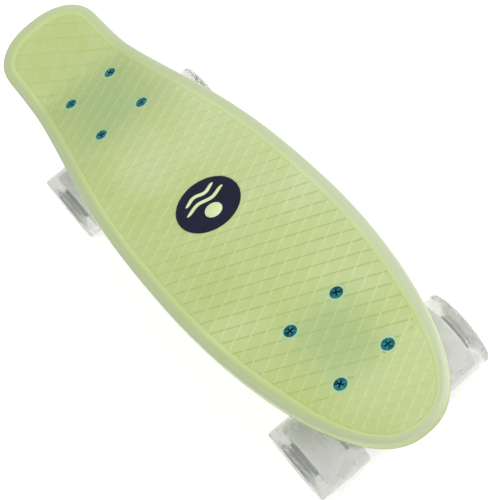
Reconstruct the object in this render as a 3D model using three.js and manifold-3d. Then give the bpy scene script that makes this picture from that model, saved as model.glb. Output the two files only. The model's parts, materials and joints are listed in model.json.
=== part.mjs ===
// Small plastic cruiser skateboard. Millimetres, +X nose, +Y the board's left, +Z up.
// The wheels stand on z = 0; the truck assemblies are built in a frame of their own
// (x outward to the board's end, z up, origin on the base plate's mounting face).
import * as THREE from "three";
import Module from "manifold-3d";
import { mergeVertices } from "three/addons/utils/BufferGeometryUtils.js";

const wasm = await Module();
wasm.setup();

// ---- driving dimensions -------------------------------------------------------------
const GAP = 0.3;                  // clearance between parts that touch in the real board

// deck outline, seen from above
const DECK_LENGTH = 564;
const HALF_WIDTH = 75;            // at the widest place
const WIDEST_X = 67;
const TAIL_HALF_WIDTH = 46.5;
const TAPER_LENGTH = 325;         // widest place to the parallel part of the tail
const TAPER_POWER = 1.28;
const NOSE_POWERS = [1.9, 2.3];   // superellipse exponents along and across
const TAIL_CAP = 33;              // length of the rounded tail end
const TAIL_POWER = 2.25;

// deck section
const FIELD_DEPTH = 0.8;          // the gripped field lies this far below the border
const BORDER = 9.5;
const SHELL = 4.5;
const RIM_DEPTH = 10;
const RIM_WALL = 4;
const EDGE_R = 2.4;
const PAD_DEPTH = 10.5;           // deck thickness over a truck
const PAD_SIZE = [80, 56];

// deck line, seen from the side
const PAD_SPACING = 346;
const MID_X = 12;                 // half way between the trucks
const PAD_TILT = THREE.MathUtils.degToRad(4.2);
const ARCH_HALF = 135;
const KICK_X = -216;
const KICK_BEND = 10;
const KICK_TILT = THREE.MathUtils.degToRad(21);

// fasteners
const HOLES = [60, 41.3];         // bolt pattern along and across
const BOLT = { shank: 2.4, head: 4.9, headDepth: 3, length: 31 };
const NUT = { flats: 9.5, height: 5 };
const HOLE_R = BOLT.shank + 0.35;
const PROUD = 0.2;                // bolt heads and the badge's foot stand this far above the field
const HEAD_TOP = PROUD - FIELD_DEPTH;

// truck
const RISER = { size: [78, 54], thick: 2.8 };
const PLATE = { size: [76, 54], thick: 5 };
const AXLE = { x: 11.8, z: -55.9, r: 4, half: 77.2 };
const RING = { x: -8, z: -36, r: 16, hole: 9.2, thick: 8 };
const PIVOT = { x: 26, z: -11 };   // the steering axis runs from the ring's middle through here
const KINGPIN_BOSS = { r: [12.8, 14], top: 32 };
const PIVOT_BOSS = { r: [10.6, 12], from: 34.5, to: 52, socketR: 7.9, socketTo: 46.4 };
const PIVOT_CUP = { r: 7.6, bore: 5.6, from: 35, to: 46, floor: 1.4 };
const PIVOT_TIP = { r: 5.2, endR: 3.6, from: 29, taperFrom: 42, to: 44.2 };
const KINGPIN = { tilt: THREE.MathUtils.degToRad(12), r: 5, headR: 8, below: 26, head: [26, 31] };
const UPPER_BUSHING = { height: 12, r: [12, 12] };
const LOWER_BUSHING = { height: 10, r: [12, 10] };
const WASHER = { r: 12.6, thick: 1.5 };
const HANGER_HALF = 38.1;
const HOUSING_R = 8.5;

// wheels
const WHEEL = { y: 54.7, r: 30, half: 22.5, edge: 4, lipR: 24.6, dishZ: 15.8 };
const CORE = { r: 20, half: 12, bore: 8.8 };
const BEARING = { r: 11, bore: AXLE.r + GAP, width: 7, face: 15.2 };
const AXLE_NUT = { flats: 13, height: 5.6, from: 16.5 };
const KINGPIN_NUT = { flats: 14.3, height: 8 };

// ribs under the deck: their half spacings across, their width and their stations along
const RIB_WIDTH = 3;
const RIB_ROWS = { long: [-24, 0, 24], short: [-46, 46] };
const RIB_X = {
  long: [-250, -226, -216, -206, -123, -90, -56, -22, 12, 46, 80, 114, 147, 222],
  short: [-110, -80, -50, -20, 10, 40, 70, 100, 130, 150],
};

const BADGE = { r: 26.2, thick: 0.4, x: 14 };

// ---- materials ----------------------------------------------------------------------
const mat = (color, roughness, metalness) =>
  new THREE.MeshStandardMaterial({ color, roughness, metalness });

const MAT = {
  deck: mat(0xc3d48c, 0.45, 0),
  badge: mat(0x1b1e34, 0.5, 0),
  bolt: mat(0x1e6e82, 0.35, 0.8),
  zinc: mat(0xb9bcc0, 0.35, 0.9),
  riser: mat(0x6d8f86, 0.7, 0),
  cast: mat(0xb4b8bb, 0.4, 0.9),
  steel: mat(0x9a9da1, 0.3, 0.95),
  cup: mat(0xe6e6e2, 0.5, 0),
  bushing: mat(0xe9ebe4, 0.4, 0),
  tyre: mat(0xe6ecee, 0.15, 0),
  core: mat(0xf3f5f6, 0.35, 0),
  bearing: mat(0x8f9498, 0.3, 0.9),
};

// ---- solid helpers ------------------------------------------------------------------
function toManifold(geometry) {
  let g = geometry.clone();
  g.deleteAttribute("normal");
  g.deleteAttribute("uv");
  g = mergeVertices(g, 1e-4);
  return new wasm.Manifold(new wasm.Mesh({
    numProp: 3,
    vertProperties: new Float32Array(g.attributes.position.array),
    triVerts: new Uint32Array(g.index.array),
  }));
}

function fromManifold(solid) {
  const m = solid.getMesh();
  const g = new THREE.BufferGeometry();
  g.setAttribute("position", new THREE.BufferAttribute(new Float32Array(m.vertProperties), 3));
  g.setIndex(new THREE.BufferAttribute(new Uint32Array(m.triVerts), 1));
  g.computeVertexNormals();
  return g;
}

const add = (list) => list.map(toManifold).reduce((a, b) => a.add(b));
const cut = (solid, list) => list.map(toManifold).reduce((a, b) => a.subtract(b), solid);

// one closed geometry from vertex triples and face index triples
function geometryOf(points, faces) {
  const g = new THREE.BufferGeometry();
  g.setAttribute("position", new THREE.BufferAttribute(new Float32Array(points.flat()), 3));
  g.setIndex(faces.flat());
  g.computeVertexNormals();
  return g;
}

// closed turned ring or rod; profile points [radius, height] anticlockwise in the r-z plane
function turned(profile, segments, phase = 0) {
  const points = [];
  const faces = [];
  const rows = profile.map(([r, z]) => {
    if (r === 0) {
      points.push([0, 0, z]);
      return [points.length - 1];
    }
    const row = [];
    for (let i = 0; i < segments; i++) {
      const a = (2 * Math.PI * (i + phase)) / segments;
      row.push(points.push([r * Math.cos(a), r * Math.sin(a), z]) - 1);
    }
    return row;
  });
  for (let k = 0; k < rows.length; k++) {
    const a = rows[k];
    const b = rows[(k + 1) % rows.length];
    for (let i = 0; i < segments; i++) {
      const j = (i + 1) % segments;
      if (a.length > 1) faces.push([a[i], a[j], b[b.length > 1 ? j : 0]]);
      if (b.length > 1) faces.push([a[a.length > 1 ? i : 0], b[j], b[i]]);
    }
  }
  return geometryOf(points, faces);
}

const rod = (r, z0, z1, segments) => turned([[0, z0], [r, z0], [r, z1], [0, z1]], segments);
const tube = (r, z0, z1, bore, segments) =>
  turned([[bore, z0], [r, z0], [r, z1], [bore, z1]], segments);
const box = (x0, x1, y0, y1, z0, z1) =>
  new THREE.BoxGeometry(x1 - x0, y1 - y0, z1 - z0)
    .translate((x0 + x1) / 2, (y0 + y1) / 2, (z0 + z1) / 2);

// flat prism between z0 and z1 from a three.js shape
function prism(shape, z0, z1, curveSegments = 4) {
  const g = new THREE.ExtrudeGeometry(shape, { depth: z1 - z0, bevelEnabled: false, curveSegments });
  return g.translate(0, 0, z0);
}

function roundedRect(length, width, r) {
  const x = length / 2;
  const y = width / 2;
  const s = new THREE.Shape();
  s.moveTo(-x + r, -y);
  s.lineTo(x - r, -y);
  s.absarc(x - r, -y + r, r, -Math.PI / 2, 0);
  s.lineTo(x, y - r);
  s.absarc(x - r, y - r, r, 0, Math.PI / 2);
  s.lineTo(-x + r, y);
  s.absarc(-x + r, y - r, r, Math.PI / 2, Math.PI);
  s.lineTo(-x, -y + r);
  s.absarc(-x + r, -y + r, r, Math.PI, 1.5 * Math.PI);
  return s;
}

// hexagonal nut with a bore, standing on z0
function hexNut(flats, bore, z0, z1) {
  const r = flats / Math.sqrt(3);
  const chamfer = 0.7;
  const blank = turned([[0, z0], [r, z0], [r, z1 - chamfer], [r - chamfer, z1], [0, z1]], 6);
  return fromManifold(cut(toManifold(blank), [rod(bore, z0 - 1, z1 + 1, 12)]));
}

// solid through polygons [x, z], anticlockwise from the left, laid at falling y
function loft(sections) {
  const n = sections[0].outline.length;
  const points = sections.flatMap(({ y, outline }) => outline.map(([x, z]) => [x, y, z]));
  const faces = [];
  for (let k = 0; k + 1 < sections.length; k++) {
    for (let i = 0; i < n; i++) {
      const j = (i + 1) % n;
      const a = k * n;
      const b = a + n;
      faces.push([a + i, b + j, b + i], [a + i, a + j, b + j]);
    }
  }
  const last = (sections.length - 1) * n;
  for (let i = 1; i + 1 < n; i++) {
    faces.push([0, i + 1, i], [last, last + i, last + i + 1]);
  }
  return geometryOf(points, faces);
}

function mesh(name, geometry, material) {
  const m = new THREE.Mesh(geometry, material);
  m.name = name;
  return m;
}

// four bolt centres of a truck, named by end and side of the truck's own frame
const holeCentres = [];
for (const [end, sx] of [["outer", 1], ["inner", -1]]) {
  for (const sy of [1, -1]) {
    holeCentres.push({ end, sy, x: (sx * HOLES[0]) / 2, y: (sy * HOLES[1]) / 2 });
  }
}

// ---- deck line and outline ----------------------------------------------------------
const TAIL_X = -DECK_LENGTH / 2;
const NOSE_X = DECK_LENGTH / 2;
const padSlope = Math.tan(PAD_TILT);
const kickSlope = Math.tan(KICK_TILT);
const SLOPES = [
  [TAIL_X - 20, -kickSlope],
  [KICK_X - KICK_BEND, -kickSlope],
  [KICK_X + KICK_BEND, padSlope],
  [MID_X - ARCH_HALF, padSlope],
  [MID_X + ARCH_HALF, -padSlope],
  [NOSE_X + 20, -padSlope],
];

const mountDepth = PAD_DEPTH + GAP + RISER.thick + GAP;
const axleDepth = mountDepth - AXLE.z;
const PAD_TOP = WHEEL.r + AXLE.x * Math.sin(PAD_TILT) + axleDepth * Math.cos(PAD_TILT);

function slopeAt(x) {
  const k = Math.max(1, SLOPES.findIndex(([sx]) => sx >= x));
  const [x0, s0] = SLOPES[k - 1];
  const [x1, s1] = SLOPES[k];
  return s0 + ((s1 - s0) * (x - x0)) / (x1 - x0);
}

function rise(x) {
  let total = 0;
  for (let k = 1; k < SLOPES.length; k++) {
    const x0 = SLOPES[k - 1][0];
    const x1 = Math.min(SLOPES[k][0], x);
    if (x1 > x0) total += ((slopeAt(x0 + 1e-9) + slopeAt(x1)) / 2) * (x1 - x0);
  }
  return total;
}

const padRise = rise(MID_X + PAD_SPACING / 2);
const lineZ = (x) => PAD_TOP + rise(x) - padRise;

// point on the deck line at x, moved h along the line's normal
function onDeck(x, y, h) {
  const s = slopeAt(x);
  const n = Math.hypot(1, s);
  return [x - (h * s) / n, y, lineZ(x) + h / n];
}

function halfWidth(x) {
  if (x >= WIDEST_X) return HALF_WIDTH;
  const t = Math.min(1, (WIDEST_X - x) / TAPER_LENGTH);
  const blend = (1 + Math.cos(Math.PI * t ** TAPER_POWER)) / 2;
  return TAIL_HALF_WIDTH + (HALF_WIDTH - TAIL_HALF_WIDTH) * blend;
}

// right-hand half of the outline from the tail's middle to the nose's middle
function halfOutline() {
  const points = [];
  const capX = TAIL_X + TAIL_CAP;
  const steps = 9;
  for (let i = 0; i <= steps; i++) {
    const a = (Math.PI / 2) * (i / steps);
    const x = capX - TAIL_CAP * Math.cos(a) ** (2 / TAIL_POWER);
    points.push([x, halfWidth(x) * Math.sin(a) ** (2 / TAIL_POWER)]);
  }
  const noseLength = NOSE_X - WIDEST_X;
  const sides = [-236, -227, -221, -216, -211, -205, -190, -161, -140, -123, -95, -65, -35, -5, 25, 48];
  for (const x of sides) points.push([x, halfWidth(x)]);
  const turns = 15;
  for (let i = 0; i <= turns; i++) {
    const a = (Math.PI / 2) * (i / turns);
    const x = WIDEST_X + noseLength * Math.sin(a) ** (2 / NOSE_POWERS[0]);
    points.push([x, HALF_WIDTH * Math.cos(a) ** (2 / NOSE_POWERS[1])]);
  }
  points[0][1] = 0;
  points[points.length - 1][1] = 0;
  return points;
}

// tray with a thick rim: closed by strips between mirrored outline points above and below
function deckShell() {
  const half = halfOutline();
  const outline = half.map(([x, y]) => [x, -y]);
  for (let i = half.length - 2; i > 0; i--) outline.push(half[i]);
  const n = outline.length;
  const inward = outline.map((_, i) => {
    const a = outline[(i + n - 1) % n];
    const b = outline[(i + 1) % n];
    const d = Math.hypot(b[0] - a[0], b[1] - a[1]);
    return [-(b[1] - a[1]) / d, (b[0] - a[0]) / d];
  });
  const floor = -FIELD_DEPTH - SHELL;
  const rings = [
    [BORDER + 0.7, -FIELD_DEPTH],
    [BORDER, 0],
    [EDGE_R, 0],
    [EDGE_R * 0.3, -EDGE_R * 0.3],
    [0, -EDGE_R],
    [0, 1.2 - RIM_DEPTH],
    [1.2, -RIM_DEPTH],
    [RIM_WALL, -RIM_DEPTH],
    [RIM_WALL + 1, floor],
  ];
  const points = [];
  for (const [inset, h] of rings) {
    for (let i = 0; i < n; i++) {
      const x = outline[i][0] + inset * inward[i][0];
      const y = outline[i][1] + inset * inward[i][1];
      points.push(onDeck(x, y, h));
    }
  }
  const faces = [];
  for (let k = 0; k + 1 < rings.length; k++) {
    for (let i = 0; i < n; i++) {
      const j = (i + 1) % n;
      const a = k * n;
      const b = a + n;
      faces.push([a + i, b + i, b + j], [a + i, b + j, a + j]);
    }
  }
  const last = (rings.length - 1) * n;
  for (let i = 0; i < n / 2; i++) {
    const j = i + 1;
    const p = (n - i) % n;
    const q = n - j;
    faces.push([i, j, q]);
    faces.push([last + i, last + q, last + j]);
    faces.push([i, q, p]);
    faces.push([last + i, last + p, last + q]);
  }
  return geometryOf(points, faces.filter(([a, b, c]) => a !== b && b !== c && a !== c));
}

// rib under the deck, following the deck line through the given stations
function rib(y, stations) {
  const y0 = y - RIB_WIDTH / 2;
  const y1 = y + RIB_WIDTH / 2;
  const foot = 1 - RIM_DEPTH;
  const top = -FIELD_DEPTH - SHELL + 1;
  const steps = stations.length - 1;
  const points = [];
  const faces = [];
  for (const x of stations) {
    points.push(onDeck(x, y0, top), onDeck(x, y1, top), onDeck(x, y1, foot), onDeck(x, y0, foot));
  }
  for (let i = 0; i < steps; i++) {
    for (let k = 0; k < 4; k++) {
      const a = 4 * i + k;
      const b = 4 * i + ((k + 1) % 4);
      faces.push([a, a + 4, b + 4], [a, b + 4, b]);
    }
  }
  const e = 4 * steps;
  faces.push([0, 1, 2], [0, 2, 3], [e, e + 2, e + 1], [e, e + 3, e + 2]);
  return geometryOf(points, faces);
}

// ---- frames -------------------------------------------------------------------------
// truck ends: side = +1 nose truck, -1 tail truck
const ENDS = [["front", 1], ["rear", -1]];
const padX = (side) => MID_X + (side * PAD_SPACING) / 2;

// matrix from a truck frame whose z = 0 lies h above the deck line at the pad
function padMatrix(side, h) {
  const turn = new THREE.Euler(0, side * PAD_TILT, side > 0 ? 0 : Math.PI, "YZX");
  const m = new THREE.Matrix4().makeRotationFromEuler(turn);
  return m.setPosition(...onDeck(padX(side), 0, h));
}

// the board's name for side sy of a truck
const sideName = (side, sy) => (side * sy > 0 ? "left" : "right");

// ---- deck ---------------------------------------------------------------------------
function deckGeometry() {
  const cutters = [];
  const blocks = [];
  for (const [, side] of ENDS) {
    const m = padMatrix(side, 0);
    const pad = prism(roundedRect(PAD_SIZE[0], PAD_SIZE[1], 8), -PAD_DEPTH, -FIELD_DEPTH - 2);
    blocks.push(pad.applyMatrix4(m));
    for (const { x, y } of holeCentres) {
      const clear = BOLT.head + GAP * 1.2;
      const cutter = turned([
        [0, -PAD_DEPTH - 3],
        [HOLE_R, -PAD_DEPTH - 3],
        [HOLE_R, HEAD_TOP - BOLT.headDepth],
        [clear, HEAD_TOP],
        [clear, 4],
        [0, 4],
      ], 12);
      cutters.push(cutter.translate(x, y, 0).applyMatrix4(m));
    }
  }
  const ribs = [];
  for (const kind of ["long", "short"]) {
    for (const y of RIB_ROWS[kind]) ribs.push(rib(y, RIB_X[kind]));
  }
  return fromManifold(cut(add([deckShell(), ...ribs, ...blocks]), cutters));
}

function badgeGeometry() {
  const foot = onDeck(BADGE.x, 0, HEAD_TOP)[2];
  return rod(BADGE.r, foot, foot + BADGE.thick, 40).translate(BADGE.x, 0, 0);
}

// ---- fasteners ----------------------------------------------------------------------
function boltGeometry() {
  const { shank, head, headDepth, length } = BOLT;
  const body = turned([
    [0, HEAD_TOP - length],
    [shank, HEAD_TOP - length],
    [shank, HEAD_TOP - headDepth],
    [head, HEAD_TOP - 0.4],
    [head, HEAD_TOP],
    [0, HEAD_TOP],
  ], 12);
  const arm = 2.6;
  const half = 0.5;
  const bottom = HEAD_TOP - 1.6;
  const cross = add([
    box(-arm, arm, -half, half, bottom, HEAD_TOP + 1),
    box(-half, half, -arm, arm, bottom, HEAD_TOP + 1),
  ]);
  return fromManifold(toManifold(body).subtract(cross));
}

// ---- truck parts, all in the truck frame ----------------------------------------------
const pivotLength = Math.hypot(PIVOT.x - RING.x, PIVOT.z - RING.z);
const pivotAngle = Math.atan2(PIVOT.z - RING.z, PIVOT.x - RING.x);

// local +z laid along the steering axis, origin in the ring's middle
const alongPivot = (g) => g.rotateY(Math.PI / 2 - pivotAngle).translate(RING.x, 0, RING.z);
// local +z laid up the kingpin, origin in the ring's middle
const alongKingpin = (g) => g.rotateY(KINGPIN.tilt).translate(RING.x, 0, RING.z);

const upperFrom = RING.thick / 2 + GAP;
const upperTo = upperFrom + UPPER_BUSHING.height;
const seat = upperTo + GAP + WASHER.thick + GAP;
const lowerFrom = -RING.thick / 2 - GAP;
const lowerTo = lowerFrom - LOWER_BUSHING.height;
const nutTop = lowerTo - GAP - WASHER.thick - GAP;

function baseplateGeometry() {
  const { top } = KINGPIN_BOSS;
  const { from, to, socketR, socketTo } = PIVOT_BOSS;
  const body = add([
    prism(roundedRect(PLATE.size[0], PLATE.size[1], 7), -PLATE.thick, 0),
    alongKingpin(turned([[0, seat], [KINGPIN_BOSS.r[0], seat], [KINGPIN_BOSS.r[1], top], [0, top]], 20)),
    alongPivot(turned([[0, from], [PIVOT_BOSS.r[0], from], [PIVOT_BOSS.r[1], to], [0, to]], 20)),
    box(-2, 24, -5, 5, -9, -1),
    box(-27, -6, -3, 3, -12, -1),
  ]);
  const cutters = [
    // what the bosses would leave above the mounting face and beyond the plate's outer edge
    box(-60, 60, -40, 40, 0, 40),
    box(PLATE.size[0] / 2, 60, -40, 40, -40, 1),
    alongKingpin(rod(KINGPIN.r + GAP, 0, 60, 16)),
    alongKingpin(rod(KINGPIN.headR + GAP, KINGPIN.head[0] - GAP, 60, 16)),
    alongPivot(rod(socketR, 30, socketTo, 20)),
  ];
  for (const { x, y } of holeCentres) {
    cutters.push(rod(HOLE_R, -20, 5, 10).translate(x, y, 0));
  }
  return fromManifold(cut(body, cutters));
}

function pivotCupGeometry() {
  const { r, bore, from, to, floor } = PIVOT_CUP;
  return alongPivot(turned([
    [bore, from], [r, from], [r, to], [0, to], [0, to - floor], [bore, to - floor],
  ], 20));
}

function kingpinGeometry() {
  const [h0, h1] = KINGPIN.head;
  return alongKingpin(turned([
    [0, -KINGPIN.below],
    [KINGPIN.r - 0.8, -KINGPIN.below],
    [KINGPIN.r, 0.8 - KINGPIN.below],
    [KINGPIN.r, h0],
    [KINGPIN.headR, h0],
    [KINGPIN.headR, h1],
    [0, h1],
  ], 16));
}

const bushingGeometry = (z0, z1, r0, r1) => alongKingpin(turned([
  [KINGPIN.r + 0.4, z0], [r0, z0], [r1, z1], [KINGPIN.r + 0.4, z1],
], 20));

const cupWasherGeometry = (z0) => alongKingpin(
  tube(WASHER.r, z0, z0 + WASHER.thick, KINGPIN.r + GAP, 20));

function kingpinNutGeometry() {
  const { flats, height } = KINGPIN_NUT;
  return alongKingpin(hexNut(flats, KINGPIN.r + GAP, nutTop - height, nutTop).rotateZ(Math.PI / 6));
}

function hangerGeometry() {
  // sections [x, z] of the body at its middle and where it runs into the axle housing
  const wide = [[7, -35.6], [6.4, -43], [5.2, -50], [6.5, -62.6], [16.5, -63.2], [20.4, -54], [15, -37]];
  const narrow = [[6, -50], [4.4, -54], [4.6, -58.2], [8, -62.6], [15, -63], [19.4, -56], [16, -50]];
  const neck = [[7.5, -52], [20, -52], [24, -22.5], [16, -17]];
  const axisRod = (r, y0, y1, segments) =>
    rod(r, y0, y1, segments).rotateX(-Math.PI / 2).translate(AXLE.x, 0, AXLE.z);
  const body = cut(add([
    alongKingpin(rod(RING.r, -RING.thick / 2, RING.thick / 2, 24)),
    axisRod(HOUSING_R, -HANGER_HALF, HANGER_HALF, 20),
    loft([
      { y: 31, outline: narrow },
      { y: 12, outline: wide },
      { y: -12, outline: wide },
      { y: -31, outline: narrow },
    ]),
    loft([{ y: 6.5, outline: neck }, { y: -6.5, outline: neck }]),
  ]), [alongPivot(rod(18, 32, 60, 20))]);
  const { r, endR, from, taperFrom, to } = PIVOT_TIP;
  const tip = alongPivot(turned([[0, from], [r, from], [r, taperFrom], [endR, to], [0, to]], 20));
  const cutters = [
    alongKingpin(rod(RING.hole, -9, 9, 20)),
    axisRod(AXLE.r + GAP, -60, 60, 16),
  ];
  return fromManifold(cut(body.add(toManifold(tip)), cutters));
}

function axleGeometry() {
  const { r, half } = AXLE;
  return turned([
    [0, -half], [r - 0.8, -half], [r, 0.8 - half], [r, half - 0.8], [r - 0.8, half], [0, half],
  ], 16).rotateX(Math.PI / 2).translate(AXLE.x, 0, AXLE.z);
}

// ---- wheel parts, spin axis on local z, outer face at +z --------------------------------
const WHEEL_SEGMENTS = 32;

// clear tyre: dished faces down to the bearings, and the core set in a groove inside
function tyreGeometry() {
  const { r, half, edge, lipR, dishZ } = WHEEL;
  const k = 1 / Math.cos(Math.PI / WHEEL_SEGMENTS);
  const seatR = BEARING.r + GAP;
  const coreR = CORE.r + GAP;
  const coreZ = CORE.half + GAP;
  return turned([
    [seatR, -dishZ],
    [lipR, -half],
    [(r - edge) * k, -half],
    [(r - edge * 0.3) * k, edge * 0.3 - half],
    [r * k, edge - half],
    [r * k, half - edge],
    [(r - edge * 0.3) * k, half - edge * 0.3],
    [(r - edge) * k, half],
    [lipR, half],
    [seatR, dishZ],
    [seatR, coreZ],
    [coreR, coreZ],
    [coreR, -coreZ],
    [seatR, -coreZ],
  ], WHEEL_SEGMENTS, 0.5);
}

function coreGeometry() {
  const { r, half, bore } = CORE;
  const seatR = BEARING.r + GAP;
  const seatZ = BEARING.face - BEARING.width - GAP;
  return turned([
    [bore, -seatZ], [seatR, -seatZ], [seatR, -half], [r, -half],
    [r, half], [seatR, half], [seatR, seatZ], [bore, seatZ],
  ], 24, 0.5);
}

const bearingGeometry = (z0) => tube(BEARING.r, z0, z0 + BEARING.width, BEARING.bore, 20);

// the wheel stands level with the board, so that a flat of the tyre meets the ground
function wheelGroup(end, side, sy) {
  const label = `${end}_${sideName(side, sy)}`;
  const g = new THREE.Group();
  g.name = `wheel_${label}_assembly`;
  const centre = new THREE.Vector3(AXLE.x, sy * WHEEL.y, AXLE.z);
  g.position.copy(centre.applyMatrix4(padMatrix(side, -mountDepth)));
  g.rotation.set(-side * sy * Math.PI / 2, 0, 0);
  const near = -BEARING.face;
  const far = BEARING.face - BEARING.width;
  g.add(mesh(`tyre_${label}`, tyreGeometry(), MAT.tyre));
  g.add(mesh(`wheel_core_${label}`, coreGeometry(), MAT.core));
  g.add(mesh(`bearing_inner_${label}`, bearingGeometry(near), MAT.bearing));
  g.add(mesh(`bearing_outer_${label}`, bearingGeometry(far), MAT.bearing));
  const { flats, height, from } = AXLE_NUT;
  const nut = hexNut(flats, AXLE.r + GAP, from, from + height);
  g.add(mesh(`axle_nut_${label}`, nut, MAT.zinc));
  return g;
}

// ---- assembly -----------------------------------------------------------------------
function truckGroup(end, side) {
  const g = new THREE.Group();
  g.name = `truck_${end}_assembly`;
  g.applyMatrix4(padMatrix(side, -mountDepth));
  g.add(mesh(`baseplate_${end}`, baseplateGeometry(), MAT.cast));
  g.add(mesh(`pivot_cup_${end}`, pivotCupGeometry(), MAT.cup));
  g.add(mesh(`kingpin_${end}`, kingpinGeometry(), MAT.steel));
  const [u0, u1] = UPPER_BUSHING.r;
  const [l0, l1] = LOWER_BUSHING.r;
  g.add(mesh(`bushing_upper_${end}`, bushingGeometry(upperFrom, upperTo, u0, u1), MAT.bushing));
  g.add(mesh(`bushing_lower_${end}`, bushingGeometry(lowerTo, lowerFrom, l1, l0), MAT.bushing));
  g.add(mesh(`cup_washer_upper_${end}`, cupWasherGeometry(upperTo + GAP), MAT.zinc));
  g.add(mesh(`cup_washer_lower_${end}`, cupWasherGeometry(nutTop + GAP), MAT.zinc));
  g.add(mesh(`kingpin_nut_${end}`, kingpinNutGeometry(), MAT.zinc));
  g.add(mesh(`hanger_${end}`, hangerGeometry(), MAT.cast));
  g.add(mesh(`axle_${end}`, axleGeometry(), MAT.steel));
  return g;
}

function mountGroup(end, side) {
  const g = new THREE.Group();
  g.name = `mount_${end}_assembly`;
  g.applyMatrix4(padMatrix(side, 0));
  const riserTop = -PAD_DEPTH - GAP;
  const riser = cut(
    toManifold(prism(roundedRect(...RISER.size, 8), riserTop - RISER.thick, riserTop)),
    holeCentres.map(({ x, y }) => rod(HOLE_R, -40, 5, 10).translate(x, y, 0)),
  );
  g.add(mesh(`riser_pad_${end}`, fromManifold(riser), MAT.riser));
  const nutTopZ = -mountDepth - PLATE.thick - GAP;
  for (const { end: row, sy, x, y } of holeCentres) {
    const label = `${end}_${row}_${sideName(side, sy)}`;
    g.add(mesh(`deck_bolt_${label}`, boltGeometry().translate(x, y, 0), MAT.bolt));
    const nut = hexNut(NUT.flats, HOLE_R, 0, NUT.height);
    nut.rotateX(Math.PI).translate(x, y, nutTopZ);
    g.add(mesh(`deck_nut_${label}`, nut, MAT.zinc));
  }
  return g;
}

const board = new THREE.Group();
board.name = "board";
board.add(mesh("deck", deckGeometry(), MAT.deck));
board.add(mesh("badge", badgeGeometry(), MAT.badge));
for (const [end, side] of ENDS) {
  board.add(mountGroup(end, side));
  board.add(truckGroup(end, side));
  for (const sy of [1, -1]) board.add(wheelGroup(end, side, sy));
}

// the origin is half way along the whole object
board.position.x = -new THREE.Box3().setFromObject(board).getCenter(new THREE.Vector3()).x;
const skateboard = new THREE.Group();
skateboard.name = "skateboard";
skateboard.add(board);

export default skateboard;
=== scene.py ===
import json
import math

import bpy
import numpy as np
from mathutils import Matrix, Vector


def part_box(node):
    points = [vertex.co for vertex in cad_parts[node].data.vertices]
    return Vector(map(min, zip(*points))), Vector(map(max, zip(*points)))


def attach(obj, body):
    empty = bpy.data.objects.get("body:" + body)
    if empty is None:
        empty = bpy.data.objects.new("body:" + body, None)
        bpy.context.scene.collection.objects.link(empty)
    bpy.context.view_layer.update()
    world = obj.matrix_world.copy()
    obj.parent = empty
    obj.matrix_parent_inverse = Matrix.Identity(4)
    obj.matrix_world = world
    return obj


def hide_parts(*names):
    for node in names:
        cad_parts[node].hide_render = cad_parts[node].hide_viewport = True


# A small plastic cruiser skateboard. Solids are made in millimetres and scaled when they become pieces.
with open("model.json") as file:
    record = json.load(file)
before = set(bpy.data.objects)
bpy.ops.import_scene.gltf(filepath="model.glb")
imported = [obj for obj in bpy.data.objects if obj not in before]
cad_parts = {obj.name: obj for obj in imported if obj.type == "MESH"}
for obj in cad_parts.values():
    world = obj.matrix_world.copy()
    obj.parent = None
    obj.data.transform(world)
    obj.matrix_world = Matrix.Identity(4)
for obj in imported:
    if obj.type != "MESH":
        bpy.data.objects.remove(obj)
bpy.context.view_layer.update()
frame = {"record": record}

# ---- driving dimensions, millimetres, as in the CAD ----
MM = 0.001
MOUNTS = {m["name"]: m for m in frame["record"]["mounts"]}

DECK_LENGTH = 564
TAIL_X, NOSE_X = -DECK_LENGTH / 2, DECK_LENGTH / 2
HALF_WIDTH = 75
WIDEST_X = 67
TAIL_HALF_WIDTH = 46.5
TAPER_LENGTH = 325
TAPER_POWER = 1.28
NOSE_POWERS = (1.9, 2.3)
TAIL_CAP = 33
TAIL_POWER = 2.25

FIELD = -0.8                      # the gripped field, from the border's top
BORDER = 9.5
SHELL = 4.5
RIM_DEPTH = 10
RIM_WALL = 4
EDGE_R = 2.4
PAD_DEPTH = 10.5
PAD_SIZE = (80, 56)

PAD_SPACING = 346
MID_X = 12
PAD_TILT = math.radians(4.2)
ARCH_HALF = 135
KICK_X = -216
KICK_BEND = 10
KICK_TILT = math.radians(21)

HOLES = (60, 41.3)
HEAD_TOP = FIELD + 0.2
HEAD_CLEARANCE = 0.25
BOLT = {"shank": 2.4, "head": 4.9, "head_depth": 3, "length": 31, "pitch": 1.0}
HOLE_R = 2.75
DECK_NUT = {"flats": 9.5, "height": 5, "bore": 2.6}
GAP = 0.3
RISER = {"size": (78, 54), "thick": 2.8}
PLATE = {"size": (76, 54), "thick": 5}
MOUNT_DEPTH = PAD_DEPTH + GAP + RISER["thick"] + GAP
AXLE = {"x": 11.8, "z": -55.9, "r": 4, "half": 77.2, "thread": 15, "pitch": 1.1}
RING = {"x": -8, "z": -36, "r": 16, "hole": 9.2, "thick": 8}
PIVOT = {"x": 26, "z": -11}
KINGPIN_TILT = math.radians(12)
KINGPIN = {"r": 5, "head_r": 8, "below": 26, "head": (26, 31), "pitch": 1.2}
KINGPIN_NUT = {"flats": 14.3, "height": 8, "bore": 5.1}
WASHER = {"r": 12.6, "thick": 1.5}
BUSHING = {"upper": 12, "lower": 10, "r": 12, "lower_r": 10}
PIVOT_CUP = {"inner": 5.6, "outer": 7.6, "from": 35, "to": 46}
PIVOT_TIP = {"r": 5.2, "from": 29, "to": 44.2}
HANGER_HALF = 38.1
HOUSING_R = 8.5
TYRE = {"r": 30, "half": 22.5, "lip_r": 24.6, "dish": 15.8}
CORE = {"r": 20, "half": 12, "bore": 8.8}
SPOKES = {"count": 12, "pocket": (13, 18), "depth": 2, "half_angle": math.radians(9)}
LAMP_CAP = {"count": 4, "r": 1.9, "top": 21.05, "turn": 0.5}
BEARING = {"r": 11, "bore": 4.3, "width": 7, "face": 15.2}
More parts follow.
